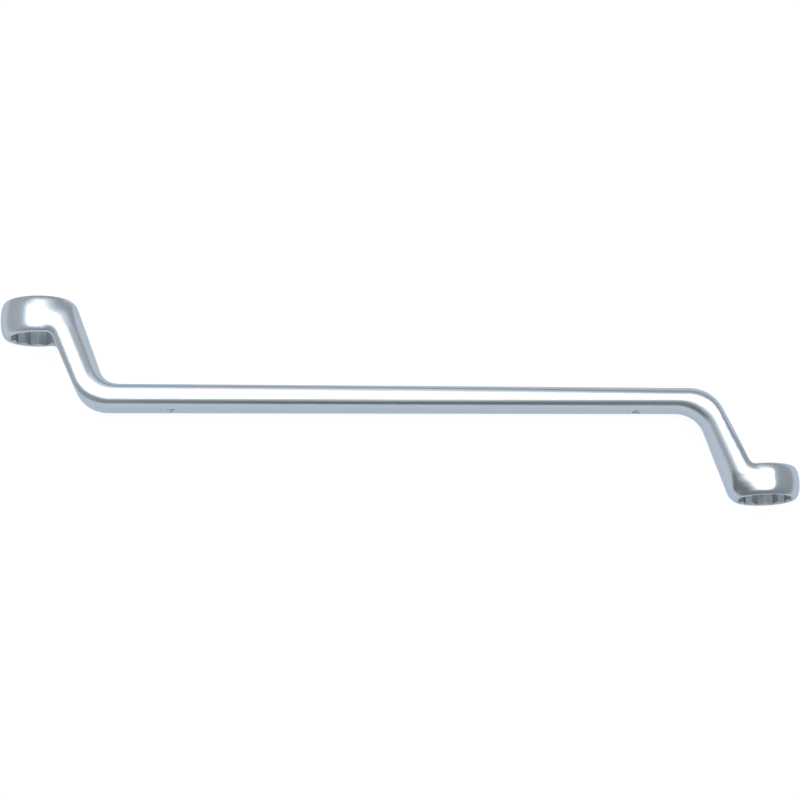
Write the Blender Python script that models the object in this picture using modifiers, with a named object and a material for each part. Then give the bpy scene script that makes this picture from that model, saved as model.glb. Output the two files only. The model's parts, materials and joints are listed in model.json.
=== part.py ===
"""Double-ended ring spanner with deep cranked necks, 17 mm and 16 mm across flats.

One drop forging: a flat oval shank, two necks cranked opposite ways and a
twelve-point ring on each neck. All lengths are in metres.

The spanner lies on its side. X runs from the large ring to the small one, Y is
the direction of both ring axes, and Z is up, square to the plane in which the
necks are cranked. The origin is under the middle of the spanner, on the surface
that it lies on.
"""
import math
from dataclasses import dataclass

import bmesh
import bpy
from mathutils import Matrix, Vector

# Bores: size across flats, how far the first corner is turned from the direction of
# X, the play that a nut needs, the slope of the lead-in cones, and how far the cones
# and the hollow under the neck reach past the corners
LARGE_FLATS = 0.0170
SMALL_FLATS = 0.0160
LARGE_TURN = math.radians(15)
SMALL_TURN = math.radians(15)
NUT_PLAY = 0.00015
MOUTH_SLOPE = math.radians(24)
MOUTH_MARGIN = 0.0004
RELIEF_MARGIN = 0.0006

# Rings: wall outside the corners of the bore, height along the axis, and how deep
# the rounding of the wall comes in from the outside at the end faces
LARGE_WALL = 0.00305
SMALL_WALL = 0.0026
LARGE_HEIGHT = 0.0124
SMALL_HEIGHT = 0.0108
RING_EDGE = 0.0024
FACE_TRIM = 0.00022

# Places of the rings, measured from the middle of the shank
RING_SPACING = 0.2423
LARGE_RISE = 0.0304
SMALL_DROP = 0.0320

# Shank: full width along Z and thickness in the plane of the cranks, at each end
LARGE_SHANK_WIDTH = 0.0169
SMALL_SHANK_WIDTH = 0.0155
LARGE_SHANK_THICKNESS = 0.0082
SMALL_SHANK_THICKNESS = 0.0076
SHANK_SLOPE = math.radians(1.72)

# Necks: thickness beside the shank, radii of the bends, and how far from the
# ring's axis the outer face of the neck leaves the ring's end face
LARGE_NECK_THICKNESS = 0.0098
SMALL_NECK_THICKNESS = 0.0082
LARGE_NECK_START = 0.0125
SMALL_NECK_START = 0.0113
LARGE_INNER_BEND = 0.0075
SMALL_INNER_BEND = 0.0100
LARGE_OUTER_BEND = 0.0128
SMALL_OUTER_BEND = 0.0124
THROAT_RADIUS = 0.0025
SHOULDER_RADIUS = 0.0036
NECK_SINK = 0.0002

# Slopes of the outer and inner faces of each neck, from the ring's end face
LARGE_OUTER_SLOPE = math.radians(71.2)
LARGE_INNER_SLOPE = math.radians(67.9)
SMALL_OUTER_SLOPE = math.radians(71.2)
SMALL_INNER_SLOPE = math.radians(68.0)

# Proportions: width of the neck inside the ring, and how high the widest point of
# a section lies, in the neck and elsewhere
NECK_WIDTH_SHARE = 0.992
PARTING_SHARE = 0.33
EVEN_SHARE = 0.5

# Powers of the rounded sections: 2 is an ellipse, higher is squarer
RING_WALL_POWER = 2.25
NECK_POWER = 2.2
LARGE_SHANK_POWER = 3.4
SMALL_SHANK_POWER = 2.9

# How far the rounding of a section goes before it ends in a flat face: early on the
# flat inner face of a neck and on the ring's faces, late on a crowned face
FLAT_EDGE = math.radians(33)
CROWNED_EDGE = math.radians(80)

# Fineness of the mesh
SECTION_POINTS = 42
FACES_OF_HALF = 3
INSIDE_STEPS = 3
CROWNING_STEPS = 7
ELBOW_STEPS = 12
ARM_STEPS = 6
BEND_STEPS = 11
SHANK_STEPS = 10
RING_STEPS = 72
WALL_STEPS = 12
RELIEF_STEPS = 10

OVERRUN = 0.002
MERGE = 0.00001
POINTS_OF_BORE = 12

STEEL_COLOUR = (0.66, 0.68, 0.70, 1.0)
STEEL_ROUGHNESS = 0.3


@dataclass(frozen=True)
class Line:
    """Straight outline in the plane of the cranks."""

    point: Vector
    direction: Vector

    def left(self):
        """Unit normal on the left of the direction."""
        return Vector((-self.direction.y, self.direction.x))

    def moved(self, distance):
        """The same line, moved to its left."""
        return Line(self.point + self.left() * distance, self.direction)

    def meets(self, other):
        """Point where two lines cross."""
        across = other.left()
        gap = (other.point - self.point).dot(across)
        return self.point + self.direction * (gap / self.direction.dot(across))


@dataclass(frozen=True)
class RingSize:
    """Sizes of one ring."""

    flats: float
    turn: float
    wall: float
    height: float

    @property
    def corner_radius(self):
        """Radius of the circle through the corners of the bore."""
        return self.flats / math.sqrt(3)

    @property
    def radius(self):
        """Outer radius."""
        return self.corner_radius + self.wall


@dataclass(frozen=True)
class EndSize:
    """Sizes of one end, seen with its ring on the left and above the shank."""

    ring: RingSize
    centre: Vector
    outer_slope: float
    inner_slope: float
    neck_start: float
    neck_thickness: float
    inner_bend: float
    outer_bend: float
    shank_width: float
    shank_thickness: float
    shank_power: float


@dataclass
class Station:
    """One section of the forging: a chord in the plane of the cranks."""

    bottom: Vector
    top: Vector
    half_width: float
    parting: float
    power: float
    bottom_edge: float
    top_edge: float

    def turned(self):
        """The same section on the other end, half a turn away."""
        return Station(-self.top, -self.bottom, self.half_width, 1 - self.parting,
                       self.power, self.top_edge, self.bottom_edge)

    def place(self, share):
        """Point of the outline, as a share of the way round from +Z over the top."""
        below = share >= EVEN_SHARE
        edge = self.bottom_edge if below else self.top_edge
        face = (share % EVEN_SHARE) / EVEN_SHARE * FACES_OF_HALF
        angle = edge * min(face, 1, FACES_OF_HALF - face)
        across = math.cos(angle) ** (2 / self.power)
        rise = (math.sin(angle) / math.sin(edge)) ** (2 / self.power)
        across *= min(max(FACES_OF_HALF - 2 * face, -1), 1)
        if below:
            rise, across = -rise * self.parting, -across
        else:
            rise *= 1 - self.parting
        place = self.bottom.lerp(self.top, self.parting + rise)
        return Vector((place.x, place.y, across * self.half_width))


def heading(angle):
    """Unit vector that points along +X, turned down by the angle."""
    return Vector((math.cos(angle), -math.sin(angle)))


def mix(a, b, share):
    """Value that lies the given share of the way from a to b."""
    return a + (b - a) * share


def eased(share):
    """Share with a gentle start and end."""
    return share * share * (3 - 2 * share)


def corner_reach(pivot, ray, first, second, radius):
    """Distance from the pivot, along the ray, to two lines joined by an arc.

    Both lines have the pivot on their left, and the arc is tangent to both.
    """
    middle = first.moved(radius).meets(second.moved(radius))
    starts = [middle - line.left() * radius - pivot for line in (first, second)]
    turn = [ray.x * start.y - ray.y * start.x for start in starts]
    if turn[0] * turn[1] < 0:
        offset = middle - pivot
        along = ray.dot(offset)
        square = along * along - offset.length_squared + radius * radius
        return along + math.sqrt(max(square, 0))
    line = first if abs(turn[0]) < abs(turn[1]) else second
    hit = Line(pivot, ray).meets(line)
    return (hit - pivot).dot(ray)


def end_stations(size):
    """Sections from inside the ring, over the neck and round the lower bend."""
    half_height = size.ring.height / 2 - NECK_SINK
    upper = Line(size.centre + Vector((0, half_height)), heading(0))
    lower = Line(size.centre - Vector((0, half_height)), heading(0))
    outer = Line(upper.point + Vector((size.neck_start, 0)), heading(size.outer_slope))
    shank_axis = Line(Vector((0, 0)), heading(SHANK_SLOPE))
    shank_top = shank_axis.moved(size.shank_thickness / 2)
    shank_bottom = shank_axis.moved(-size.shank_thickness / 2)
    notch = outer.meets(shank_top)
    inner_heading = heading(size.inner_slope)
    inner_left = Line(notch, inner_heading).left()
    inner = Line(notch - inner_left * size.neck_thickness, inner_heading)

    throat = lower.moved(-THROAT_RADIUS).meets(inner.moved(-THROAT_RADIUS))
    neck_width = size.ring.radius * NECK_WIDTH_SHARE
    chords = []
    for step in range(INSIDE_STEPS):
        along = mix(size.centre.x, throat.x, step / INSIDE_STEPS)
        chords.append((Vector((along, lower.point.y)), Vector((along, upper.point.y))))
    for step in range(ELBOW_STEPS + 1):
        angle = size.inner_slope * step / ELBOW_STEPS
        ray = Vector((math.sin(angle), math.cos(angle)))
        reach = corner_reach(throat, ray, reverse(upper), reverse(outer), SHOULDER_RADIUS)
        chords.append((throat + ray * THROAT_RADIUS, throat + ray * reach))

    hub = shank_top.moved(size.inner_bend).meets(outer.moved(size.inner_bend))
    bend = []
    for step in range(BEND_STEPS + 1):
        angle = mix(size.outer_slope, SHANK_SLOPE, step / BEND_STEPS)
        ray = -Vector((math.sin(angle), math.cos(angle)))
        reach = corner_reach(hub, ray, inner, shank_bottom, size.outer_bend)
        bend.append((hub + ray * reach, hub + ray * size.inner_bend))
    first, last = chords[-1], bend[0]
    for step in range(1, ARM_STEPS):
        share = step / ARM_STEPS
        chords.append((first[0].lerp(last[0], share), first[1].lerp(last[1], share)))
    arm_count = len(chords)
    chords += bend

    middles = [bottom.lerp(top, EVEN_SHARE) for bottom, top in chords]
    run = [0.0]
    for a, b in zip(middles, middles[1:]):
        run.append(run[-1] + (b - a).length)
    stations = []
    for index, (bottom, top) in enumerate(chords):
        crown = eased(min(max(index - INSIDE_STEPS / 2, 0) / CROWNING_STEPS, 1))
        into_shank = eased(max(index - arm_count, 0) / BEND_STEPS)
        stations.append(Station(
            bottom, top,
            mix(neck_width, size.shank_width / 2, eased(run[index] / run[-1])),
            mix(mix(EVEN_SHARE, PARTING_SHARE, crown), EVEN_SHARE, into_shank),
            mix(NECK_POWER, size.shank_power, into_shank),
            mix(FLAT_EDGE, CROWNED_EDGE, into_shank),
            mix(FLAT_EDGE, CROWNED_EDGE, crown)))
    return stations


def reverse(line):
    """The same line, run the other way."""
    return Line(line.point, -line.direction)


def new_object(name, mesh, collection):
    """Object for a mesh, in its collection."""
    thing = bpy.data.objects.new(name, mesh)
    collection.objects.link(thing)
    return thing


def hide_tool(thing):
    """Mark a blank or a cutter as a tool that isn't part of the spanner."""
    thing.hide_render = True
    thing.display_type = "WIRE"
    return thing


def loft(name, stations, collection):
    """Closed body through all sections, flat at both ends."""
    shape = bmesh.new()
    loops = [[shape.verts.new(station.place(step / SECTION_POINTS))
              for step in range(SECTION_POINTS)] for station in stations]
    for near, far in zip(loops, loops[1:]):
        for k in range(SECTION_POINTS):
            n = (k + 1) % SECTION_POINTS
            shape.faces.new((near[k], near[n], far[n], far[k]))
    shape.faces.new(loops[0][::-1])
    shape.faces.new(loops[-1])
    bmesh.ops.recalc_face_normals(shape, faces=shape.faces)
    mesh = bpy.data.meshes.new(name)
    shape.to_mesh(mesh)
    shape.free()
    return new_object(name, mesh, collection)


def turned(name, profile, centre, collection, start=0.0):
    """Solid of revolution about the direction of Y, from a profile of (radius, height).

    start is the angle at which the profile stands, which sets where the facets meet.
    """
    shape = bmesh.new()
    side, away = math.cos(start), math.sin(start)
    verts = [shape.verts.new((radius * side, radius * away, height)) for radius, height in profile]
    for a, b in zip(verts, verts[1:]):
        shape.edges.new((a, b))
    mesh = bpy.data.meshes.new(name)
    shape.to_mesh(mesh)
    shape.free()
    thing = hide_tool(new_object(name, mesh, collection))
    thing.location = (centre.x, centre.y, 0)
    thing.rotation_euler = (-math.pi / 2, 0, 0)
    screw = thing.modifiers.new("turn", "SCREW")
    screw.steps = RING_STEPS
    screw.render_steps = RING_STEPS
    screw.use_merge_vertices = True
    screw.merge_threshold = MERGE
    return thing


def ring_profile(ring):
    """Outer profile of a ring: flat faces, soft edges and a slightly bellied wall."""
    rise = ring.height / 2 + FACE_TRIM
    start = math.asin((1 - FACE_TRIM / rise) ** (RING_WALL_POWER / 2))
    points = [(0.0, ring.height / 2)]
    for step in range(WALL_STEPS + 1):
        angle = mix(start, -start, step / WALL_STEPS)
        across = math.cos(angle) ** (2 / RING_WALL_POWER)
        up = math.copysign(abs(math.sin(angle)) ** (2 / RING_WALL_POWER), angle)
        points.append((ring.radius - RING_EDGE * (1 - across), rise * up))
    points.append((0.0, -ring.height / 2))
    return points


def mouth_profile(ring, side):
    """Both lead-in cones, and the hollow that clears the bore at the neck.

    side is +1 where the neck leaves below the ring and -1 where it leaves above.
    """
    mouth = ring.corner_radius + MOUTH_MARGIN
    core = ring.flats / 2 - MOUTH_MARGIN
    face = ring.height / 2
    slant = (mouth - core) * math.tan(MOUTH_SLOPE)
    lead = OVERRUN * math.tan(MOUTH_SLOPE)
    relief = ring.corner_radius + RELIEF_MARGIN
    points = [(0.0, face + lead), (mouth + OVERRUN, face + lead),
              (core, face - slant), (core, slant - face), (mouth, -face)]
    for step in range(1, RELIEF_STEPS + 1):
        angle = math.pi / 2 * step / RELIEF_STEPS
        points.append((relief * math.cos(angle), -face - relief * math.sin(angle)))
    points[-1] = (0.0, points[-1][1])
    if side < 0:
        points = [(radius, -height) for radius, height in reversed(points)]
    return points


def bore_cutter(name, ring, centre, collection):
    """Twelve-point prism: two hexagons, one turned by half a flat."""
    shape = bmesh.new()
    outer = (ring.flats + NUT_PLAY) / math.sqrt(3)
    inner = (ring.flats + NUT_PLAY) / 2 / math.cos(math.pi / POINTS_OF_BORE)
    half = ring.height / 2 + RELIEF_MARGIN
    corners = []
    for step in range(2 * POINTS_OF_BORE):
        angle = ring.turn + math.pi * step / POINTS_OF_BORE
        radius = inner if step % 2 else outer
        corners.append(shape.verts.new((radius * math.cos(angle), -half, radius * math.sin(angle))))
    base = shape.faces.new(corners)
    grown = bmesh.ops.extrude_face_region(shape, geom=[base])
    top = [item for item in grown["geom"] if isinstance(item, bmesh.types.BMVert)]
    bmesh.ops.translate(shape, verts=top, vec=(0, 2 * half, 0))
    bmesh.ops.recalc_face_normals(shape, faces=shape.faces)
    bmesh.ops.translate(shape, verts=shape.verts, vec=(centre.x, centre.y, 0))
    mesh = bpy.data.meshes.new(name)
    shape.to_mesh(mesh)
    shape.free()
    return hide_tool(new_object(name, mesh, collection))


def combine(body, tool, operation):
    """Join a tool to the body, or cut it away."""
    step = body.modifiers.new(tool.name, "BOOLEAN")
    step.operation = operation
    step.solver = "EXACT"
    step.object = tool


def satin_steel():
    """Satin chrome plate on forged steel."""
    material = bpy.data.materials.new("satin_chrome")
    material.use_nodes = True
    shader = material.node_tree.nodes["Principled BSDF"]
    shader.inputs["Base Color"].default_value = STEEL_COLOUR
    shader.inputs["Metallic"].default_value = 1.0
    shader.inputs["Roughness"].default_value = STEEL_ROUGHNESS
    return material


def main():
    """Build the spanner."""
    for thing in list(bpy.data.objects):
        bpy.data.objects.remove(thing)
    parts = bpy.data.collections.new("ring_spanner")
    tools = bpy.data.collections.new("blanks_and_cutters")
    for collection in (parts, tools):
        bpy.context.scene.collection.children.link(collection)

    large_ring = RingSize(LARGE_FLATS, LARGE_TURN, LARGE_WALL, LARGE_HEIGHT)
    small_ring = RingSize(SMALL_FLATS, SMALL_TURN, SMALL_WALL, SMALL_HEIGHT)
    large_centre = Vector((-RING_SPACING / 2, LARGE_RISE))
    small_centre = Vector((RING_SPACING / 2, -SMALL_DROP))
    large_end = EndSize(large_ring, large_centre, LARGE_OUTER_SLOPE, LARGE_INNER_SLOPE,
                        LARGE_NECK_START, LARGE_NECK_THICKNESS,
                        LARGE_INNER_BEND, LARGE_OUTER_BEND,
                        LARGE_SHANK_WIDTH, LARGE_SHANK_THICKNESS, LARGE_SHANK_POWER)
    small_end = EndSize(small_ring, -small_centre, SMALL_OUTER_SLOPE, SMALL_INNER_SLOPE,
                        SMALL_NECK_START, SMALL_NECK_THICKNESS,
                        SMALL_INNER_BEND, SMALL_OUTER_BEND,
                        SMALL_SHANK_WIDTH, SMALL_SHANK_THICKNESS, SMALL_SHANK_POWER)

    stations = end_stations(large_end)
    far_stations = [station.turned() for station in reversed(end_stations(small_end))]
    start, stop = stations[-1], far_stations[0]
    for step in range(1, SHANK_STEPS):
        share = step / SHANK_STEPS
        stations.append(Station(
            start.bottom.lerp(stop.bottom, share), start.top.lerp(stop.top, share),
            mix(start.half_width, stop.half_width, share), EVEN_SHARE,
            mix(start.power, stop.power, share), CROWNED_EDGE, CROWNED_EDGE))
    stations += far_stations
    spanner = loft("spanner", stations, parts)

    ends = (("large", large_ring, large_centre, 1), ("small", small_ring, small_centre, -1))
    for name, ring, centre, _ in ends:
        blank = turned(name + "_ring_blank", ring_profile(ring), centre, tools)
        combine(spanner, blank, "UNION")
    for name, ring, centre, side in ends:
        mouths = turned(name + "_mouth_cutter", mouth_profile(ring, side), centre, tools,
                        start=math.pi / RING_STEPS)
        combine(spanner, mouths, "DIFFERENCE")
        bore = bore_cutter(name + "_bore_cutter", ring, centre, tools)
        combine(spanner, bore, "DIFFERENCE")

    high = large_centre.y + large_ring.height / 2
    low = small_centre.y - small_ring.height / 2
    left = large_centre.x - large_ring.radius
    right = small_centre.x + small_ring.radius
    shift = Matrix.Translation((-(left + right) / 2, -(high + low) / 2, large_ring.radius))
    for thing in [spanner] + list(tools.objects):
        thing.matrix_world = shift @ thing.matrix_basis

    spanner.data.materials.append(satin_steel())
    spanner.data.shade_smooth()


main()
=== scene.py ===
"""Studio picture of a double-ended ring spanner in satin chrome-plated steel.

The spanner is one forging: a flat oval shank, two necks cranked opposite ways and a
twelve-point ring on each neck. It lies on its side on a pale floor under a wide soft
light, inside a glowing tent that only its reflections show: painted reflections of dark
surroundings, painted paler towards the light. All lengths are in metres, in the part's
own frame: X runs from the large ring to the small one, Y along the rings' axes and Z up.
"""
import json
import logging
import math
from dataclasses import dataclass
from enum import Enum

import bmesh
import bpy
from mathutils import Matrix, Vector

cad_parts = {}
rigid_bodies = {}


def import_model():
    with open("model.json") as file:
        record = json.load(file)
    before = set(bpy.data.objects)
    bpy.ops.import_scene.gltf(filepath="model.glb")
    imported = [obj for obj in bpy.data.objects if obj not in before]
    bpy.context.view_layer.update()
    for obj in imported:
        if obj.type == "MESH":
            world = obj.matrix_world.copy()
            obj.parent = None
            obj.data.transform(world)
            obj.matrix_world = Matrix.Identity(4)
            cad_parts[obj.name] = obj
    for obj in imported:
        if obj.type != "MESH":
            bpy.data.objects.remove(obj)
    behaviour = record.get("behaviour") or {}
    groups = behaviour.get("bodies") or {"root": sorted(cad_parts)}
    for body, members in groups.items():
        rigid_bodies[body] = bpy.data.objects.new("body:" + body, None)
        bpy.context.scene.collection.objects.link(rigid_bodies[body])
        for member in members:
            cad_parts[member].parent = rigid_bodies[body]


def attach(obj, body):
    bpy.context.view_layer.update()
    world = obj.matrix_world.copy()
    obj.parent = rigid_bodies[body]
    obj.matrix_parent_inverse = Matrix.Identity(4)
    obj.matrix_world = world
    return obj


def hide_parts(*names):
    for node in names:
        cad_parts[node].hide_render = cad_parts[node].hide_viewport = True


for leftover in list(bpy.data.objects):
    bpy.data.objects.remove(leftover)
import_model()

logging.basicConfig(level=logging.INFO, format="%(levelname)s %(message)s")
LOG = logging.getLogger("ring_spanner")

MERGE = 0.000005

Colour = tuple[float, float, float, float]
Feed = bpy.types.NodeSocket | float | Colour | Vector
WHITE: Colour = (1.0, 1.0, 1.0, 1.0)
BLACK: Colour = (0.0, 0.0, 0.0, 1.0)


class End(Enum):
    """The spanner's two ends."""

    LARGE = "large"
    SMALL = "small"


class Cut(Enum):
    """Ways in which a tool changes a body."""

    JOIN = "UNION"
    REMOVE = "DIFFERENCE"


class Blend(Enum):
    """What a blend works on."""

    NUMBERS = "FLOAT"
    COLOURS = "RGBA"


def heading(angle: float) -> Vector:
    """Unit vector in the plane of the cranks, turned down from +X by an angle in radians."""
    return Vector((math.cos(angle), -math.sin(angle)))


def mix(a: float, b: float, share: float) -> float:
    """Value between two others, which is a at a share of 0 and b at 1."""
    return a + (b - a) * share


def eased(share: float) -> float:
    """A share from 0 to 1, with a gentle start and end."""
    return share * share * (3 - 2 * share)


def make_object(name: str, shape: bmesh.types.BMesh) -> bpy.types.Object:
    """Turn a bmesh into an object of the scene.

    Args:
        name: Name of the object and its mesh.
        shape: The bmesh, which is freed.

    Returns:
        The new object, at the origin.
    """
    mesh = bpy.data.meshes.new(name)
    shape.to_mesh(mesh)
    shape.free()
    thing = bpy.data.objects.new(name, mesh)
    bpy.context.scene.collection.objects.link(thing)
    return thing


def settle(thing: bpy.types.Object) -> None:
    """Work an object's modifiers into its mesh.

    Args:
        thing: The object, which ends up with no modifiers.
    """
    graph = bpy.context.evaluated_depsgraph_get()
    mesh = bpy.data.meshes.new_from_object(thing.evaluated_get(graph))
    thing.modifiers.clear()
    thing.data = mesh


def combine(body: bpy.types.Object, tool: bpy.types.Object, cut: Cut) -> None:
    """Join a tool to a body or cut it away, and drop the tool.

    Args:
        body: The object that is changed.
        tool: The object that is used up.
        cut: Whether the tool is joined or removed.
    """
    step = body.modifiers.new("combine", "BOOLEAN")
    step.operation = cut.value
    step.solver = "EXACT"
    step.object = tool
    settle(body)
    bpy.data.objects.remove(tool)


@dataclass(frozen=True)
class Line:
    """Straight outline in the plane of the cranks."""

    point: Vector
    direction: Vector

    def left(self) -> Vector:
        """Unit normal on the left of the direction."""
        return Vector((-self.direction.y, self.direction.x))

    def moved(self, distance: float) -> "Line":
        """The same line, moved to its left by the distance."""
        return Line(self.point + self.left() * distance, self.direction)

    def reverse(self) -> "Line":
        """The same line, run the other way."""
        return Line(self.point, -self.direction)

    def meets(self, other: "Line") -> Vector:
        """Point where two lines cross.

        Args:
            other: The other line.

        Returns:
            The crossing point.
        """
        across = other.left()
        gap = (other.point - self.point).dot(across)
        return self.point + self.direction * (gap / self.direction.dot(across))


def corner_reach(pivot: Vector, ray: Vector, first: Line, second: Line, radius: float) -> float:
    """Distance from a pivot to two lines that are joined by an arc.

    Args:
        pivot: Point on the left of both lines.
        ray: Unit direction from the pivot.
        first: Line before the corner.
        second: Line after the corner.
        radius: Radius of the arc, which is tangent to both lines.

    Returns:
        The distance along the ray.
    """
    middle = first.moved(radius).meets(second.moved(radius))
    starts = [middle - line.left() * radius - pivot for line in (first, second)]
    turn = [ray.x * start.y - ray.y * start.x for start in starts]
    if turn[0] * turn[1] < 0:
        offset = middle - pivot
        along = ray.dot(offset)
        square = along * along - offset.length_squared + radius * radius
        return along + math.sqrt(max(square, 0))
    line = first if abs(turn[0]) < abs(turn[1]) else second
    return (Line(pivot, ray).meets(line) - pivot).dot(ray)


@dataclass(frozen=True)
class Station:
    """One section of the forging, on a chord in the plane of the cranks.

    It is widest where the parting divides the chord. A higher power makes a half
    squarer, and its edge is the angle at which the rounding ends and a flat face starts.
    """

    bottom: Vector
    top: Vector
    half_width: float
    parting: float
    bottom_power: float
    top_power: float
    bottom_edge: float
    top_edge: float

    def turned(self) -> "Station":
        """The same section on the other end, half a turn away."""
        return Station(-self.top, -self.bottom, self.half_width, 1 - self.parting,
                       self.top_power, self.bottom_power, self.top_edge, self.bottom_edge)

    def between(self, other: "Station", share: float) -> "Station":
        """Section between this one and another, which is the other at a share of 1."""
        return Station(self.bottom.lerp(other.bottom, share), self.top.lerp(other.top, share),
                       mix(self.half_width, other.half_width, share),
                       mix(self.parting, other.parting, share),
                       mix(self.bottom_power, other.bottom_power, share),
                       mix(self.top_power, other.top_power, share),
                       mix(self.bottom_edge, other.bottom_edge, share),
                       mix(self.top_edge, other.top_edge, share))

    def place(self, turn: float) -> Vector:
        """Point of the outline, which is a rounding, a flat face and a rounding on
        each half.

        Args:
            turn: Share of the way round, from +Z over the top.

        Returns:
            The point in space.
        """
        below = turn >= 0.5
        edge = self.bottom_edge if below else self.top_edge
        power = self.bottom_power if below else self.top_power
        third = (turn % 0.5) * 6
        angle = edge * min(third, 1, 3 - third)
        across = math.cos(angle) ** (2 / power) * min(max(3 - 2 * third, -1), 1)
        rise = (math.sin(angle) / math.sin(edge)) ** (2 / power)
        if below:
            rise, across = -rise * self.parting, -across
        else:
            rise *= 1 - self.parting
        point = self.bottom.lerp(self.top, self.parting + rise)
        return Vector((point.x, point.y, across * self.half_width))


@dataclass(frozen=True)
class BoreZone:
    """Where one ring is bored: its centre, and the radius, face and slope of its mouths."""

    centre: Vector
    reach: float
    face: float
    slope: float


@dataclass(frozen=True)
class RingHead:
    """A ring: turned blank, lead-in cones, twelve-point bore and hollow at the neck.

    Its shoulder is where its wall runs into the neck. The shoulder's limits towards the
    neck are lengths from the axis. Its lower limit is a share of the height, its upper
    one a distance from the outer face, and its depth a share of the radius.
    """

    end: End
    flats: float
    turn_of_bore: float
    wall: float
    height: float
    centre: Vector
    neck_side: int
    edge: float = 0.0024
    face_trim: float = 0.00022
    wall_power: float = 2.25
    nut_play: float = 0.00015
    mouth_slope: float = math.radians(24)
    mouth_margin: float = 0.0004
    hollow_margin: float = 0.0006
    overrun: float = 0.002
    corner_break: float = 0.00012
    overlap: float = 0.00005
    shoulder_from: float = -0.002
    shoulder_to: float = 0.017
    shoulder_low: float = 0.25
    shoulder_edge: float = 0.0014
    shoulder_depth: float = 0.55
    steps: int = 180
    wall_steps: int = 28
    hollow_steps: int = 24
    points: int = 12

    @property
    def corner_radius(self) -> float:
        """Radius of the circle through the corners of the bore."""
        return self.flats / math.sqrt(3)

    @property
    def radius(self) -> float:
        """Outer radius."""
        return self.corner_radius + self.wall

    def zone(self, shift: Vector) -> BoreZone:
        """Where the finish shows broached steel with painted light, and painted shade on the lead-in
        cones, once the forging is moved by shift.
        """
        return BoreZone(self.centre.to_3d() + shift, self.corner_radius + self.mouth_margin,
                        self.height / 2 - self.overlap, math.tan(self.mouth_slope))

    def has_on_shoulder(self, place: Vector, inset: float) -> bool:
        """Whether a point lies on the wide faces, where the wall runs into the neck.

        Args:
            place: The point, before the forging is moved to its place.
            inset: How far inside the shoulder's limits the point must lie.

        Returns:
            True on the shoulder, away from the crisp edge of the outer face.
        """
        away = (place.to_2d() - self.centre) * self.neck_side
        low = -self.height * self.shoulder_low
        high = self.height / 2 - self.shoulder_edge
        across = self.shoulder_from + inset < away.x < self.shoulder_to - inset
        along = low + inset < away.y < high - inset
        return across and along and abs(place.z) > self.radius * self.shoulder_depth + inset

    def wall_profile(self) -> list[tuple[float, float]]:
        """Outer profile: flat faces, soft edges and a slightly bellied wall.

        Returns:
            Points of radius and height, from the axis round to the axis.
        """
        rise = self.height / 2 + self.face_trim
        start = math.asin((1 - self.face_trim / rise) ** (self.wall_power / 2))
        points = [(0.0, self.height / 2)]
        for step in range(self.wall_steps + 1):
            angle = mix(start, -start, step / self.wall_steps)
            across = math.cos(angle) ** (2 / self.wall_power)
            up = math.copysign(abs(math.sin(angle)) ** (2 / self.wall_power), angle)
            points.append((self.radius - self.edge * (1 - across), rise * up))
        points.append((0.0, -self.height / 2))
        return points

    def mouth_profile(self) -> list[tuple[float, float]]:
        """Profile of both lead-in cones and of the hollow that clears the bore.

        Returns:
            Points of radius and height, from the axis round to the axis.
        """
        mouth = self.corner_radius + self.mouth_margin
        core = self.flats / 2 - self.mouth_margin
        face = self.height / 2
        slant = (mouth - core) * math.tan(self.mouth_slope)
        lead = self.overrun * math.tan(self.mouth_slope)
        hollow = self.corner_radius + self.hollow_margin
        points = [(0.0, face + lead), (mouth + self.overrun, face + lead),
                  (core, face - slant), (core, slant - face), (mouth, -face)]
        for step in range(1, self.hollow_steps):
            angle = math.pi / 2 * step / self.hollow_steps
            points.append((hollow * math.cos(angle), -face - hollow * math.sin(angle)))
        points.append((0.0, -face - hollow))
        return [(radius, height * self.neck_side) for radius, height in points]

    def turn(self, name: str, profile: list[tuple[float, float]], start: float) -> bpy.types.Object:
        """Spin a profile round the ring's axis.

        Args:
            name: Name of the solid.
            profile: Points of radius and height, which start and end on the axis.
            start: Angle at which the profile stands, which sets where facets meet.

        Returns:
            The closed solid of revolution.
        """
        shape = bmesh.new()
        side, away = math.cos(start), math.sin(start)
        verts = [shape.verts.new((radius * side, height, radius * away)) for radius, height in profile]
        edges = [shape.edges.new(pair) for pair in zip(verts, verts[1:])]
        bmesh.ops.spin(shape, geom=verts + edges, cent=(0, 0, 0), axis=(0, 1, 0), dvec=(0, 0, 0),
                       angle=2 * math.pi, steps=self.steps, use_merge=True)
        bmesh.ops.remove_doubles(shape, verts=shape.verts, dist=MERGE)
        bmesh.ops.recalc_face_normals(shape, faces=shape.faces)
        bmesh.ops.translate(shape, verts=shape.verts, vec=self.centre.to_3d())
        return make_object(name, shape)

    def blank(self) -> bpy.types.Object:
        """The ring before it is bored."""
        return self.turn(f"{self.end.value}_blank", self.wall_profile(), 0.0)

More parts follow.
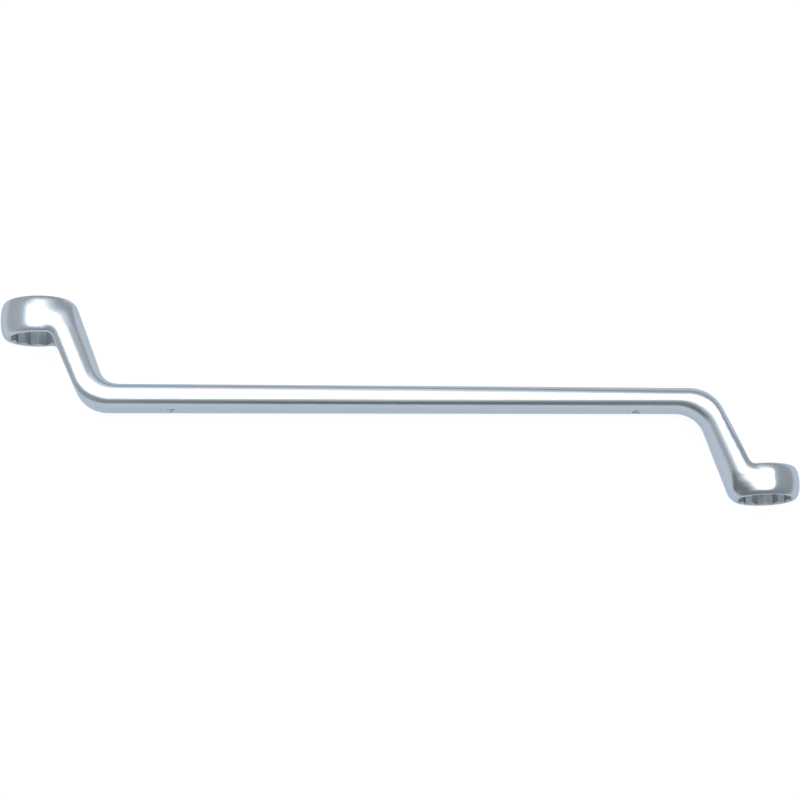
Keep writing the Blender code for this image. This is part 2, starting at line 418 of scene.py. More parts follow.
    def bore_tool(self) -> bpy.types.Object:
        """Twelve-point prism joined to both lead-in cones and the hollow.

        Returns:
            The closed tool that cuts the bore.
        """
        shape = bmesh.new()
        outer = (self.flats + self.nut_play) / math.sqrt(3)
        inner = (self.flats + self.nut_play) / 2 / math.cos(math.pi / self.points)
        half = self.height / 2 + self.hollow_margin
        made = bmesh.ops.create_circle(shape, cap_ends=True, cap_tris=False,
                                       segments=2 * self.points, radius=1.0)
        for vert in made["verts"]:
            angle = math.atan2(vert.co.y, vert.co.x)
            count = round(angle * self.points / math.pi)
            radius = inner if count % 2 else outer
            angle += self.turn_of_bore
            vert.co = Vector((radius * math.cos(angle), -half, radius * math.sin(angle)))
        grown = bmesh.ops.extrude_face_region(shape, geom=list(shape.faces))
        top = [item for item in grown["geom"] if isinstance(item, bmesh.types.BMVert)]
        bmesh.ops.translate(shape, verts=top, vec=(0, 2 * half, 0))
        ridges = [edge for edge in shape.edges
                  if abs(edge.verts[0].co.y - edge.verts[1].co.y) > half]
        bmesh.ops.bevel(shape, geom=ridges, affect="EDGES", offset=self.corner_break,
                        offset_type="OFFSET", segments=2, profile=0.5, material=-1)
        bmesh.ops.recalc_face_normals(shape, faces=shape.faces)
        bmesh.ops.translate(shape, verts=shape.verts, vec=self.centre.to_3d())
        prism = make_object(f"{self.end.value}_prism", shape)
        mouths = self.turn(f"{self.end.value}_mouths", self.mouth_profile(), math.pi / self.steps)
        combine(mouths, prism, Cut.JOIN)
        return mouths


@dataclass(frozen=True)
class Neck:
    """A cranked neck, seen with its ring on the left and above the shank.

    Its outer face is flat for the first flat_steps sections and crowned from then on.
    Its inner face starts to round rounding_lead sections before the bend. A pace of 1
    has it round at the bend's end, and a higher one sooner. The swell is how much
    fuller the rounded side then is.
    """

    outer_slope: float
    inner_slope: float
    start: float
    thickness: float
    inner_bend: float
    outer_bend: float
    rounding_lead: int = 0
    rounding_pace: float = 1.0
    swell: float = 0.0
    throat_radius: float = 0.0025
    shoulder_radius: float = 0.0036
    sink: float = 0.0002
    width_share: float = 0.992
    parting: float = 0.33
    power: float = 2.2
    flat_edge: float = math.radians(33)
    crowned_edge: float = math.radians(80)
    inside_steps: int = 8
    flat_steps: int = 2
    crowning_steps: int = 14
    elbow_steps: int = 24
    arm_steps: int = 10
    bend_steps: int = 22

    def stations(self, head: RingHead, shank: "Shank", end: End) -> list[Station]:
        """Sections from inside the ring, over the neck and round the bend.

        Args:
            head: The ring that the neck carries.
            shank: The shank that the neck leaves.
            end: Which end of the shank it is.

        Returns:
            The sections, from the ring to the shank.
        """
        centre = head.centre * head.neck_side
        half_height = head.height / 2 - self.sink
        upper = Line(centre + Vector((0, half_height)), heading(0))
        lower = Line(centre - Vector((0, half_height)), heading(0))
        outer = Line(upper.point + Vector((self.start, 0)), heading(self.outer_slope))
        shank_axis = Line(Vector((0, 0)), heading(shank.slope))
        shank_top = shank_axis.moved(shank.thickness[end] / 2)
        shank_bottom = shank_axis.moved(-shank.thickness[end] / 2)
        notch = outer.meets(shank_top)
        inner = Line(notch, heading(self.inner_slope)).moved(-self.thickness)

        throat = lower.moved(-self.throat_radius).meets(inner.moved(-self.throat_radius))
        chords = []
        for step in range(self.inside_steps):
            along = mix(centre.x, throat.x, step / self.inside_steps)
            chords.append((Vector((along, lower.point.y)), Vector((along, upper.point.y))))
        for step in range(self.elbow_steps + 1):
            angle = self.inner_slope * step / self.elbow_steps
            ray = Vector((math.sin(angle), math.cos(angle)))
            reach = corner_reach(throat, ray, upper.reverse(), outer.reverse(),
                                 self.shoulder_radius)
            chords.append((throat + ray * self.throat_radius, throat + ray * reach))

        hub = shank_top.moved(self.inner_bend).meets(outer.moved(self.inner_bend))
        bend = []
        for step in range(self.bend_steps + 1):
            angle = mix(self.outer_slope, shank.slope, step / self.bend_steps)
            ray = -Vector((math.sin(angle), math.cos(angle)))
            reach = corner_reach(hub, ray, inner, shank_bottom, self.outer_bend)
            bend.append((hub + ray * reach, hub + ray * self.inner_bend))
        first, last = chords[-1], bend[0]
        for step in range(1, self.arm_steps):
            share = step / self.arm_steps
            chords.append((first[0].lerp(last[0], share), first[1].lerp(last[1], share)))
        arm_count = len(chords)
        chords += bend
        return self.sections(chords, arm_count, head, shank, end)

    def sections(self, chords: list[tuple[Vector, Vector]], arm_count: int, head: RingHead,
                 shank: "Shank", end: End) -> list[Station]:
        """Give each chord of the neck its width and its roundness.

        Args:
            chords: Inner and outer point of each section.
            arm_count: How many chords lie before the bend.
            head: The ring that the neck carries.
            shank: The shank that the neck leaves.
            end: Which end of the shank it is.

        Returns:
            The finished sections.
        """
        middles = [bottom.lerp(top, shank.parting) for bottom, top in chords]
        run = [0.0]
        for a, b in zip(middles, middles[1:]):
            run.append(run[-1] + (b - a).length)
        sections = []
        start = arm_count - self.rounding_lead
        for index, (bottom, top) in enumerate(chords):
            crowned = max(index - self.flat_steps, 0) / self.crowning_steps
            crown = eased(min(crowned, 1))
            into_shank = eased(max(index - arm_count, 0) / self.bend_steps)
            rounded = max(index - start, 0) / (len(chords) - 1 - start)
            rounded = eased(min(rounded * self.rounding_pace, 1))
            bottom = bottom + (bottom - top).normalized() * self.swell * rounded
            sections.append(Station(
                bottom, top,
                mix(head.radius * self.width_share, shank.width[end] / 2,
                    eased(run[index] / run[-1])),
                mix(mix(shank.parting, self.parting, crown), shank.parting, into_shank),
                mix(self.power, shank.bottom_power[end], into_shank),
                mix(self.power, shank.top_power[end], into_shank),
                mix(self.flat_edge, self.crowned_edge, rounded),
                mix(self.flat_edge, self.crowned_edge, crown)))
        return sections


@dataclass(frozen=True)
class Shank:
    """The straight tapering bar between the necks."""

    width: dict[End, float]
    thickness: dict[End, float]
    bottom_power: dict[End, float]
    top_power: dict[End, float]
    slope: float = math.radians(1.72)
    parting: float = 0.5
    steps: int = 60


@dataclass(frozen=True)
class SizeMark:
    """A number stamped into the shank: the size of the ring at that end."""

    number: int
    along: float
    height: float = 0.0062
    depth: float = 0.00022

    def tool(self, surface: Vector, slope: float) -> bpy.types.Object:
        """Solid number that is cut out of the shank.

        Args:
            surface: Point of the shank's lower wide face, in the forging's own place.
            slope: Slope of the shank.

        Returns:
            The closed tool, sunk to the stamp's depth.
        """
        curve = bpy.data.curves.new(f"number_{self.number}", "FONT")
        curve.body = str(self.number)
        curve.size = self.height
        curve.align_x = "CENTER"
        curve.align_y = "CENTER"
        curve.extrude = self.depth
        curve.resolution_u = 6
        text = bpy.data.objects.new(curve.name, curve)
        bpy.context.scene.collection.objects.link(text)
        bpy.context.view_layer.update()
        graph = bpy.context.evaluated_depsgraph_get()
        mesh = bpy.data.meshes.new_from_object(text.evaluated_get(graph))
        bpy.data.objects.remove(text)
        shape = bmesh.new()
        shape.from_mesh(mesh)
        bmesh.ops.remove_doubles(shape, verts=shape.verts, dist=MERGE)
        lean = Matrix.Rotation(-slope, 4, "Z") @ Matrix.Rotation(math.pi / 2, 4, "X")
        bmesh.ops.transform(shape, matrix=Matrix.Translation(surface) @ lean, verts=shape.verts)
        bmesh.ops.recalc_face_normals(shape, faces=shape.faces)
        return make_object(f"stamp_{self.number}", shape)


@dataclass(frozen=True)
class Wiring:
    """A shader node tree, with short ways to add nodes to it."""

    tree: bpy.types.NodeTree

    def feed(self, node: bpy.types.Node, feeds: dict[str | int, Feed]) -> None:
        """Link or set inputs of a node.

        Args:
            node: The node that is fed.
            feeds: Socket or fixed value of each input, by its name or number.
        """
        for label, value in feeds.items():
            if isinstance(value, bpy.types.NodeSocket):
                self.tree.links.new(value, node.inputs[label])
            else:
                node.inputs[label].default_value = value

    def add(self, kind: str, feeds: dict[str | int, Feed] | None = None,
            **choices: str | bpy.types.NodeTree) -> bpy.types.Node:
        """Add a node, make its choices and feed its inputs.

        Args:
            kind: Kind of node, as Blender names it after "ShaderNode".
            feeds: Socket or fixed value of each input that isn't left as it is.
            choices: The node's own settings, such as its operation.

        Returns:
            The new node.
        """
        node = self.tree.nodes.new(f"ShaderNode{kind}")
        for label, choice in choices.items():
            setattr(node, label, choice)
        self.feed(node, feeds or {})
        return node

    def group(self, tree: bpy.types.NodeTree,
              feeds: dict[str | int, Feed]) -> bpy.types.NodeOutputs:
        """Outputs of a node group whose inputs are fed."""
        return self.add("Group", feeds, node_tree=tree).outputs

    def math(self, operation: str, *values: Feed) -> bpy.types.NodeSocket:
        """Result of an operation on numbers."""
        return self.add("Math", dict(enumerate(values)), operation=operation).outputs["Value"]

    def vector_math(self, operation: str, *values: Feed) -> bpy.types.NodeOutputs:
        """Outputs of an operation on vectors: "Vector", or "Value" for a length."""
        return self.add("VectorMath", dict(enumerate(values)), operation=operation).outputs

    def noise(self, place: Feed, scale: Feed, detail: float = 2.0,
              roughness: float = 0.5) -> bpy.types.NodeSocket:
        """Noise from 0 to 1, whose scale counts the lumps in a metre."""
        feeds = {"Vector": place, "Scale": scale, "Detail": detail, "Roughness": roughness}
        return self.add("TexNoise", feeds).outputs["Fac"]

    def graded(self, value: Feed, start: Feed = 0.0, stop: Feed = 1.0, low: float = 0.0,
               high: float = 1.0, soft: bool = False) -> bpy.types.NodeSocket:
        """Grade a number from one range to another, and hold it at both ends.

        Args:
            value: The number.
            start: Where the grading starts.
            stop: Where it stops.
            low: Result up to the start.
            high: Result from the stop on.
            soft: Whether it starts and stops gently.

        Returns:
            The socket of the result.
        """
        feeds = {"Value": value, "From Min": start, "From Max": stop, "To Min": low,
                 "To Max": high}
        course = "SMOOTHSTEP" if soft else "LINEAR"
        return self.add("MapRange", feeds, interpolation_type=course).outputs["Result"]

    def blend(self, share: Feed, first: Feed, second: Feed,
              kind: Blend = Blend.NUMBERS) -> bpy.types.NodeSocket:
        """Blend of two numbers or colours, which is the second at a share of 1."""
        feeds = {"Factor": share, "A": first, "B": second}
        return self.add("Mix", feeds, data_type=kind.value).outputs["Result"]

    def place(self) -> bpy.types.NodeSocket:
        """Point of the surface, in the object's own frame."""
        return self.add("TexCoord").outputs["Object"]

    def background_rays(self) -> bpy.types.NodeSocket:
        """Mask that is 1 for camera, glossy and transmission rays.

        Returns:
            The socket of the mask.
        """
        rays = self.add("LightPath").outputs
        seen = self.math("MAXIMUM", rays["Is Camera Ray"], rays["Is Glossy Ray"])
        return self.math("MAXIMUM", seen, rays["Is Transmission Ray"])

    def given(self) -> bpy.types.NodeOutputs:
        """Sockets with what a group is fed."""
        return self.tree.nodes["In"].outputs

    def close(self, results: dict[str | int, Feed]) -> bpy.types.NodeTree:
        """Feed a group's results to its outputs, and return the group."""
        self.feed(self.tree.nodes["Out"], results)
        return self.tree


def new_group(name: str, vectors: tuple[str, ...], numbers: tuple[str, ...],
              results: tuple[str, ...]) -> Wiring:
    """Make an empty shader node group with its sockets.

    Args:
        name: Name of the group.
        vectors: Names of the inputs that are vectors.
        numbers: Names of the inputs that are numbers.
        results: Names of the outputs, which are all numbers.

    Returns:
        The group's wiring.
    """
    group = bpy.data.node_groups.new(name, "ShaderNodeTree")
    for labels, side, kind in ((vectors, "INPUT", "NodeSocketVector"),
                               (numbers, "INPUT", "NodeSocketFloat"),
                               (results, "OUTPUT", "NodeSocketFloat")):
        for label in labels:
            group.interface.new_socket(name=label, in_out=side, socket_type=kind)
    group.nodes.new("NodeGroupInput").name = "In"
    group.nodes.new("NodeGroupOutput").name = "Out"
    return Wiring(group)


def new_material(name: str) -> tuple[bpy.types.Material, Wiring, bpy.types.Node]:
    """Make a node material.

    Args:
        name: Name of the material.

    Returns:
        The material, its wiring and its surface shader.
    """
    material = bpy.data.materials.new(name)
    material.use_nodes = True
    tree = material.node_tree
    return material, Wiring(tree), tree.nodes["Principled BSDF"]


def blasted_grain() -> bpy.types.NodeTree:
    """Fine blasted grain over soft forged ripples.

    Returns:
        The group, with the height of the surface and a slow patch mask.
    """
    wiring = new_group("blasted_grain", ("Place",),
                       ("Grain Scale", "Ripple Scale", "Grain Share"), ("Height", "Patch"))
    given = wiring.given()
    fine = wiring.noise(given["Place"], given["Grain Scale"], roughness=0.6)
    ripple = wiring.noise(given["Place"], given["Ripple Scale"], detail=1.0)
    height = wiring.math("MULTIPLY_ADD", fine, given["Grain Share"], ripple)
    return wiring.close({"Height": height, "Patch": ripple})


def edge_wear() -> bpy.types.NodeTree:
    """Mask of convex edges that handling has brightened.

    Returns:
        The group, with the mask from 0 to 1.
    """
    wiring = new_group("edge_wear", ("Place",), ("From", "To", "Patch Scale"), ("Wear",))
    given = wiring.given()
    bulge = wiring.add("NewGeometry").outputs["Pointiness"]
    edges = wiring.graded(bulge, given["From"], given["To"])
    patch = wiring.noise(given["Place"], given["Patch Scale"])
    return wiring.close({"Wear": wiring.math("MULTIPLY", edges, patch)})


def broached_zone() -> bpy.types.NodeTree:
    """Masks of one bore: its flutes, their broach marks and the lead-in cones, where shade is painted.

    Returns:
        The group, with the three masks from 0 to 1.
    """
    wiring = new_group("broached_zone", ("Place", "Centre"),
                       ("Reach", "Face", "Slope", "Mark Scale"), ("Bore", "Marks", "Painted Mouth Shade"))
    given = wiring.given()
    away = wiring.vector_math("SUBTRACT", given["Place"], given["Centre"])["Vector"]
    parts = wiring.add("SeparateXYZ", {"Vector": away}).outputs
    across = wiring.add("CombineXYZ", {"X": parts["X"], "Z": parts["Z"]}).outputs["Vector"]
    radius = wiring.vector_math("LENGTH", across)["Value"]
    along = wiring.math("ABSOLUTE", parts["Y"])
    inside = wiring.math("LESS_THAN", radius, given["Reach"])
    gap = wiring.math("SUBTRACT", given["Reach"], radius)
    depth = wiring.math("ADD", along, wiring.math("MULTIPLY", gap, given["Slope"]))
    deep = wiring.math("LESS_THAN", depth, given["Face"])
    shallow = wiring.math("LESS_THAN", along, given["Face"])
    bore = wiring.math("MULTIPLY", inside, deep)
    # Mask of the lead-in cones, which carries their painted shade.
    mouth_shade_mask = wiring.math("SUBTRACT", wiring.math("MULTIPLY", inside, shallow), bore)
    marks = wiring.noise(across, given["Mark Scale"], detail=1.0)
    return wiring.close({"Bore": bore, "Marks": marks, "Painted Mouth Shade": mouth_shade_mask})


@dataclass(frozen=True)
class SatinChrome:
    """Satin chrome plate over blasted forged steel, with broached bores: their paler colour is
    broached steel and painted light inside the bore, and their darker lead-in cones are painted shade.

    Wear shows where the surface's bulge, which is 0.5 on a flat, rises from wear_from
    to wear_to. The scales of wear and marks count lumps in a metre.
    """

    colour: Colour = (0.45, 0.51, 0.575, 1.0)
    worn_colour: Colour = (0.53, 0.58, 0.63, 1.0)
    edge_tint: Colour = (0.68, 0.76, 0.86, 1.0)
    roughness: float = 0.27
    roughness_spread: float = 0.05
    grain_size: float = 0.00030
    grain_depth: float = 0.000007
    ripple_size: float = 0.0035
    ripple_depth: float = 0.000010
    wear_from: float = 0.52
    wear_to: float = 0.60
    wear_scale: float = 300.0
    bore_steel_and_painted_light: Colour = (0.57, 0.61, 0.64, 1.0)
    mark_colour: Colour = (0.43, 0.47, 0.50, 1.0)
    mark_scale: float = 2600.0
    painted_mouth_shade: Colour = (0.37, 0.40, 0.42, 1.0)
    bore_roughness: float = 0.38

    def material(self, zones: list[BoreZone]) -> bpy.types.Material:
        """Build the material.

        Args:
            zones: Where the forging is bored and shows broached steel.

        Returns:
            The node material of the plated steel.
        """
        material, wiring, shader = new_material("satin_chrome_plate")
        place = wiring.place()
        grain = wiring.group(blasted_grain(), {
            "Place": place, "Grain Scale": 1 / self.grain_size,
            "Ripple Scale": 1 / self.ripple_size,
            "Grain Share": self.grain_depth / self.ripple_depth})
        wear = wiring.group(edge_wear(), {
            "Place": place, "From": self.wear_from, "To": self.wear_to,
            "Patch Scale": self.wear_scale})
        colour = wiring.blend(wear["Wear"], self.colour, self.worn_colour, Blend.COLOURS)
        roughness = wiring.graded(grain["Patch"], low=self.roughness - self.roughness_spread / 2,
                                  high=self.roughness + self.roughness_spread / 2)
        masks = broached_zone()
        for zone in zones:
            bored = wiring.group(masks, {
                "Place": place, "Centre": zone.centre, "Reach": zone.reach, "Face": zone.face,
                "Slope": zone.slope, "Mark Scale": self.mark_scale})
            # The bore's paler colour is partly broached steel, partly painted light for the light
            # bounced inside it; the marks are broach marks.
            marked = wiring.blend(bored["Marks"], self.bore_steel_and_painted_light, self.mark_colour,
                                  Blend.COLOURS)
            colour = wiring.blend(bored["Bore"], colour, marked, Blend.COLOURS)
            # The lead-in cones are painted darker: painted shade at the mouths.
            colour = wiring.blend(bored["Painted Mouth Shade"], colour, self.painted_mouth_shade, Blend.COLOURS)
            roughness = wiring.blend(bored["Bore"], roughness, self.bore_roughness)
        bump = wiring.add("Bump", {"Distance": self.ripple_depth, "Height": grain["Height"]})
        wiring.feed(shader, {"Base Color": colour, "Metallic": 1.0, "Roughness": roughness,
                             "Specular Tint": self.edge_tint, "Normal": bump.outputs["Normal"]})
        return material


@dataclass(frozen=True)
class Forging:
    """The whole spanner as one smooth forging with bored rings.

    The whole skin is smoothed a few times, and the shoulders again for each inset, so
    that the smoothing fades out towards their limits.
    """

    heads: dict[End, RingHead]
    necks: dict[End, Neck]
    shank: Shank
    marks: tuple[SizeMark, ...]
    finish: SatinChrome
    section_points: int = 96
    skin_size: float = 0.00045
    smoothing: int = 6
    smooth_share: float = 0.5
    blending: int = 36
    insets: tuple[float, ...] = (0.0, 0.0007, 0.0014)
    crease: float = math.radians(32)

    def stations(self) -> list[Station]:
        """All sections, from inside the large ring to inside the small one."""
        near = self.necks[End.LARGE].stations(self.heads[End.LARGE], self.shank, End.LARGE)
        far = self.necks[End.SMALL].stations(self.heads[End.SMALL], self.shank, End.SMALL)
        far = [station.turned() for station in reversed(far)]
        bar = [near[-1].between(far[0], step / self.shank.steps)
               for step in range(1, self.shank.steps)]
        return near + bar + far

    def body(self) -> bpy.types.Object:
        """Loft the necks and the shank.

        Returns:
            The closed body without its rings.
        """
        shape = bmesh.new()
        stations = self.stations()
        loops = []
        for station in stations:
            outermost = station is stations[0] or station is stations[-1]
            made = bmesh.ops.create_circle(shape, cap_ends=outermost, cap_tris=False,
                                           segments=self.section_points, radius=1.0)
            for vert in made["verts"]:
                turn = math.atan2(vert.co.y, vert.co.x) / (2 * math.pi) % 1
                vert.co = station.place(turn)
            loops.append(list({edge for vert in made["verts"] for edge in vert.link_edges}))
        for near, far in zip(loops, loops[1:]):
            bmesh.ops.bridge_loops(shape, edges=near + far)
        bmesh.ops.recalc_face_normals(shape, faces=shape.faces)
        return make_object("spanner_forging", shape)

    def skin(self, body: bpy.types.Object) -> None:
        """Melt the joined bodies into one skin and soften where they meet.

        Args:
            body: The joined forging, which is changed.
        """
        step = body.modifiers.new("skin", "REMESH")
        step.mode = "VOXEL"
        step.voxel_size = self.skin_size
        settle(body)
        shape = bmesh.new()
        shape.from_mesh(body.data)
        self.soften(shape, list(shape.verts), self.smoothing)
        for head in self.heads.values():
            for inset in self.insets:
                shoulder = [vert for vert in shape.verts if head.has_on_shoulder(vert.co, inset)]
                self.soften(shape, shoulder, self.blending)
        shape.to_mesh(body.data)
        shape.free()

    def soften(self, shape: bmesh.types.BMesh, verts: list[bmesh.types.BMVert],
               passes: int) -> None:
        """Smooth a part of the skin.

        Args:
            shape: The skin, which is changed.
            verts: The verts that may move.
            passes: How often they are smoothed.
        """
        for _ in range(passes):
            bmesh.ops.smooth_vert(shape, verts=verts, factor=self.smooth_share,
                                  use_axis_x=True, use_axis_y=True, use_axis_z=True)

    def build(self) -> bpy.types.Object:
        """Make the spanner and dress it.

        Returns:
            The finished piece.
        """
        body = self.body()
        for head in self.heads.values():
            combine(body, head.blank(), Cut.JOIN)
        self.skin(body)
        for head in self.heads.values():
            combine(body, head.bore_tool(), Cut.REMOVE)
        for mark in self.marks:
            combine(body, mark.tool(self.mark_point(mark), self.shank.slope), Cut.REMOVE)
        large, small = self.heads[End.LARGE], self.heads[End.SMALL]
        left = large.centre.x - large.radius
        right = small.centre.x + small.radius
        high = large.centre.y + large.height / 2
        low = small.centre.y - small.height / 2
        shift = Vector((-(left + right) / 2, -(high + low) / 2, large.radius))
        body.data.transform(Matrix.Translation(shift))
        body.data.shade_smooth()
        body.data.set_sharp_from_angle(angle=self.crease)
        body.data.materials.clear()
        zones = [head.zone(shift) for head in self.heads.values()]
        body.data.materials.append(self.finish.material(zones))
        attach(body, "root")
        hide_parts("spanner")
        return body

    def mark_point(self, mark: SizeMark) -> Vector:
        """Point of the shank's lower wide face where a number is stamped.

        Args:
            mark: The number and its place along the shank.

        Returns:
            The point, before the forging is moved to its place.
        """
        share = mark.along / self.heads[End.SMALL].centre.x / 2 + 0.5
        half = mix(self.shank.thickness[End.LARGE], self.shank.thickness[End.SMALL], share) / 2
        way = heading(self.shank.slope)
        return Line(way * mark.along, way).moved(-half).point.to_3d()


@dataclass(frozen=True)
class PaleFloor:
    """Matt white board that keeps the shadow and turns white away from the object."""

    colour: Colour = (0.18, 0.18, 0.18, 1.0)
    roughness: float = 0.9
    gloss: float = 0.1
    lift: float = 0.91
    half_size: float = 2.4
    fade_from: float = 0.30
    fade_to: float = 0.90

    def build(self) -> bpy.types.Object:
        """Make the floor.

        Returns:
            The floor.
        """
        shape = bmesh.new()
        bmesh.ops.create_grid(shape, x_segments=1, y_segments=1, size=self.half_size)
        floor = make_object("floor", shape)
        floor.data.materials.append(self.material())
        return floor

    def material(self) -> bpy.types.Material:
        """Build the material.

        Returns:
            The node material of the board.
        """
        material, wiring, shader = new_material("white_board")
        away = wiring.vector_math("LENGTH", wiring.place())["Value"]
        fade = wiring.graded(away, self.fade_from, self.fade_to, low=self.lift)
        seen = wiring.math("MULTIPLY", wiring.background_rays(), fade)
        wiring.feed(shader, {"Base Color": self.colour, "Roughness": self.roughness,
                             "Specular IOR Level": self.gloss, "Emission Color": WHITE,
                             "Emission Strength": seen})
        return material


def rectangle(left: float, right: float, front: float, back: float) -> list[tuple[float, float]]:
    """Corners of a rectangle seen from above, from left front round by right front."""
    return [(left, front), (right, front), (right, back), (left, back)]


@dataclass(frozen=True)
class Cloth:
    """One wall of the tent: its glowing tone, and the painted light that makes it paler towards the
    light.

    Angles are in degrees from straight up, as the spanner sees the wall. A bend of 1
    makes the wall paler at an even pace, and a higher one mostly near the light.
    """

    tone: float
    rise: float
    rise_from: float
    rise_to: float
    bend: float = 1.0

    def level(self, wiring: Wiring, angle: bpy.types.NodeSocket) -> bpy.types.NodeSocket:
        """Brightness of the wall at an angle from straight up."""
        graded = wiring.graded(angle, math.radians(self.rise_from), math.radians(self.rise_to))
        return wiring.math("MULTIPLY_ADD", wiring.math("POWER", graded, self.bend),
                           self.rise, self.tone)


@dataclass(frozen=True)
class PaintedReflectionTent:
    """Glowing cloth round the spanner, which only its reflections show: a sheet that paints reflected
    shade and light.

    It stands on a foot just outside the picture and leans out to the edges of the
    light. The front is the darkest wall, as painted shade, and every wall is painted
    paler towards the light. Each wall blends into the next round the spanner. The back
    one starts at back_from, on a scale from 0 at the sides to 1 straight behind the spanner.
    """

    foot_left: float = -0.207
    foot_right: float = 0.207
    foot_front: float = -0.064
    foot_back: float = 0.068
    left: Cloth = Cloth(0.70, 0.90, 55.0, 33.0)
    right: Cloth = Cloth(0.56, 1.15, 45.0, 27.0)
    front: Cloth = Cloth(0.22, 1.68, 76.0, 19.0, 2.2)
    back: Cloth = Cloth(0.51, 1.19, 78.0, 32.0)
    back_from: float = 0.35

    def build(self, head: list[tuple[float, float]], height: float) -> bpy.types.Object:
        """Sew the cloth from its foot up to the light.

        Args:
            head: Corners of the light, from left front round by right front.
            height: Height of the light.

        Returns:
            The cloth.
        """
        foot = rectangle(self.foot_left, self.foot_right, self.foot_front, self.foot_back)
        shape = bmesh.new()
        made = bmesh.ops.create_circle(shape, cap_ends=False, segments=len(foot), radius=1.0)
        grown = bmesh.ops.extrude_edge_only(shape, edges=list(shape.edges))
        upper = [item for item in grown["geom"] if isinstance(item, bmesh.types.BMVert)]
        for verts, places, level in ((made["verts"], foot, 0.0), (upper, head, height)):
            for vert in verts:
                quarter = int(math.atan2(vert.co.y, vert.co.x) // (math.pi / 2)) % len(foot)
                vert.co = Vector((*places[(quarter + 2) % len(foot)], level))
        tent = make_object("painted_reflection_tent", shape)
        tent.visible_camera = False
        tent.visible_diffuse = False
        tent.visible_shadow = False
        tent.data.materials.append(self.material())
        return tent

    def material(self) -> bpy.types.Material:
        """Glowing cloth whose tone follows the direction in which the spanner sees it: painted shade
        and painted light for its reflections.

        Returns:
            The material.
        """
        material, wiring, shader = new_material("painted_reflection_cloth")
        place = wiring.place()
        parts = wiring.add("SeparateXYZ", {"Vector": place}).outputs
        flat = wiring.vector_math("MULTIPLY", place, Vector((1.0, 1.0, 0.0)))["Vector"]
        reach = wiring.vector_math("LENGTH", flat)["Value"]
        angle = wiring.math("ARCTAN2", reach, parts["Z"])
        tone = self.left.level(wiring, angle)
        for wall, axis, start, stop in ((self.right, "X", -1.0, 1.0),
                                        (self.front, "Y", 0.0, -1.0),
                                        (self.back, "Y", self.back_from, 1.0)):
            share = wiring.math("DIVIDE", parts[axis], reach)
            turn = wiring.graded(share, start, stop, soft=True)
            tone = wiring.blend(turn, tone, wall.level(wiring, angle))
        # The cloth glows but is no lamp: its emission paints the shade and light that the spanner
        # reflects.
        wiring.feed(shader, {"Base Color": BLACK, "Specular IOR Level": 0.0,
                             "Emission Color": WHITE, "Emission Strength": tone})
        return material


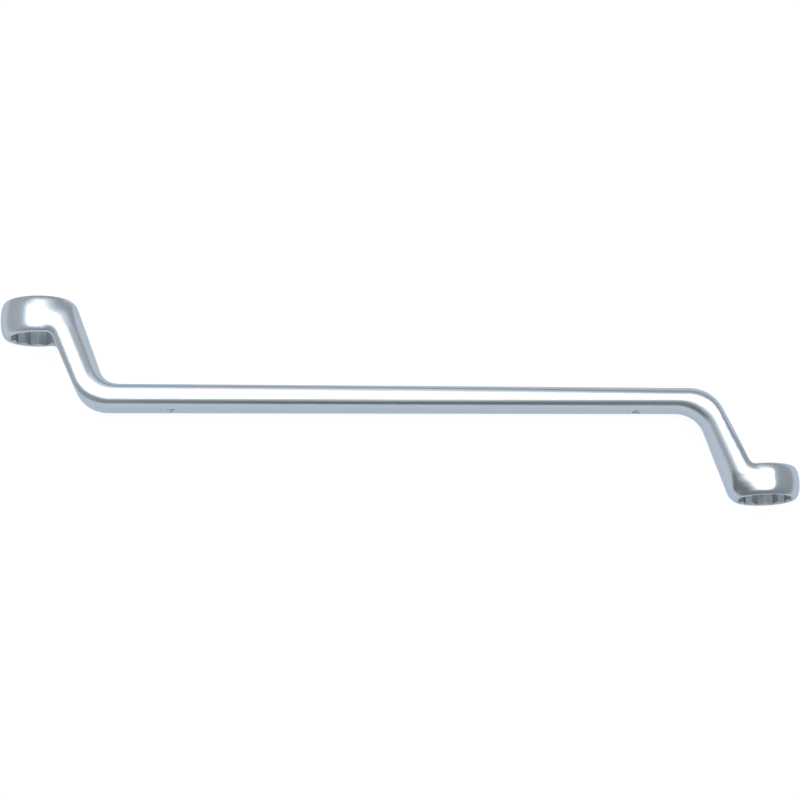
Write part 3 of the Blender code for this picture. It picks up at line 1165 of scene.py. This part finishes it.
@dataclass(frozen=True)
class Studio:
    """Floor, soft light, glowing tent of painted reflections, world and camera."""

    floor: PaleFloor = PaleFloor()
    tent: PaintedReflectionTent = PaintedReflectionTent()
    light_height: float = 1.7
    light_left: float = -1.10
    light_right: float = 0.87
    light_front: float = -0.58
    light_back: float = 1.08
    light_level: float = 2.15
    ambient: float = 0.20
    azimuth: float = math.radians(0.308)
    elevation: float = math.radians(77.000)
    roll: float = math.radians(-1.726)
    distance: float = 1.1220
    frame_width: float = 0.26891
    aim: tuple[float, float, float] = (0.0, 0.0, 0.012865)
    aim_right: float = 0.000840
    aim_up: float = 0.000363

    def build(self) -> None:
        """Set up everything round the spanner."""
        head = rectangle(self.light_left, self.light_right, self.light_front, self.light_back)
        self.floor.build()
        self.tent.build(head, self.light_height)
        self.light()
        self.world()
        self.camera()
        bpy.context.scene.view_settings.view_transform = "Standard"

    def light(self) -> None:
        """Hang the wide soft light over the spanner."""
        lamp = bpy.data.lights.new("soft_light", "AREA")
        lamp.shape = "RECTANGLE"
        lamp.size = self.light_right - self.light_left
        lamp.size_y = self.light_back - self.light_front
        lamp.energy = self.light_level * math.pi * lamp.size * lamp.size_y
        thing = bpy.data.objects.new("soft_light", lamp)
        thing.location = ((self.light_left + self.light_right) / 2,
                          (self.light_front + self.light_back) / 2, self.light_height)
        thing.visible_camera = False
        bpy.context.scene.collection.objects.link(thing)

    def world(self) -> None:
        """White world behind the set, dim for the light that it gives."""
        world = bpy.data.worlds.new("studio")
        world.use_nodes = True
        wiring = Wiring(world.node_tree)
        level = wiring.graded(wiring.background_rays(), low=self.ambient)
        wiring.feed(world.node_tree.nodes["Background"], {"Color": WHITE, "Strength": level})
        bpy.context.scene.world = world

    def camera(self) -> None:
        """Set the camera at the photograph's angle, roll and frame."""
        flat = math.cos(self.elevation)
        back = Vector((math.sin(self.azimuth) * flat, -math.cos(self.azimuth) * flat,
                       math.sin(self.elevation)))
        level = Vector((math.cos(self.azimuth), math.sin(self.azimuth), 0))
        upright = back.cross(level)
        right = level * math.cos(self.roll) + upright * math.sin(self.roll)
        up = back.cross(right)
        target = Vector(self.aim) + right * self.aim_right + up * self.aim_up
        lens = bpy.data.cameras.new("camera")
        lens.sensor_width = 36.0
        lens.lens = lens.sensor_width * self.distance / self.frame_width
        lens.clip_start = 0.01
        lens.clip_end = 20.0
        camera = bpy.data.objects.new("camera", lens)
        turn = Matrix((right, up, back)).transposed().to_4x4()
        camera.matrix_world = Matrix.Translation(target + back * self.distance) @ turn
        bpy.context.scene.collection.objects.link(camera)
        bpy.context.scene.camera = camera


def ring_spanner() -> Forging:
    """The 17 x 16 mm spanner with its sizes.

    Returns:
        The forging, ready to be built.
    """
    half_spacing = 0.2423 / 2
    heads = {
        End.LARGE: RingHead(End.LARGE, flats=0.0170, turn_of_bore=math.radians(8),
                            wall=0.00305, height=0.0124,
                            centre=Vector((-half_spacing, 0.0304)), neck_side=1,
                            shoulder_low=0.36),
        End.SMALL: RingHead(End.SMALL, flats=0.0160, turn_of_bore=math.radians(-8),
                            wall=0.0026, height=0.0108,
                            centre=Vector((half_spacing, -0.0320)), neck_side=-1),
    }
    necks = {
        End.LARGE: Neck(outer_slope=math.radians(71.2), inner_slope=math.radians(67.9),
                        start=0.0125, thickness=0.0098,
                        inner_bend=0.0075, outer_bend=0.0128),
        End.SMALL: Neck(outer_slope=math.radians(71.2), inner_slope=math.radians(68.0),
                        start=0.0113, thickness=0.0082,
                        inner_bend=0.0100, outer_bend=0.0124,
                        rounding_lead=9, rounding_pace=1.9, swell=0.0003, flat_steps=5),
    }
    shank = Shank(width={End.LARGE: 0.0169, End.SMALL: 0.0155},
                  thickness={End.LARGE: 0.0082, End.SMALL: 0.0076},
                  bottom_power={End.LARGE: 3.3, End.SMALL: 2.05},
                  top_power={End.LARGE: 3.55, End.SMALL: 2.8})
    marks = (SizeMark(17, -0.078), SizeMark(16, 0.078))
    return Forging(heads, necks, shank, marks, SatinChrome())


def main() -> None:
    """Build the spanner and its studio."""
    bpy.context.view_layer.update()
    spanner = ring_spanner().build()
    triangles = sum(len(face.vertices) - 2 for face in spanner.data.polygons)
    LOG.info("%s: %d triangles", spanner.name, triangles)
    Studio().build()
    LOG.info("studio: floor, tent, light, world and camera")
    bpy.context.view_layer.update()


if __name__ == "__main__":
    main()
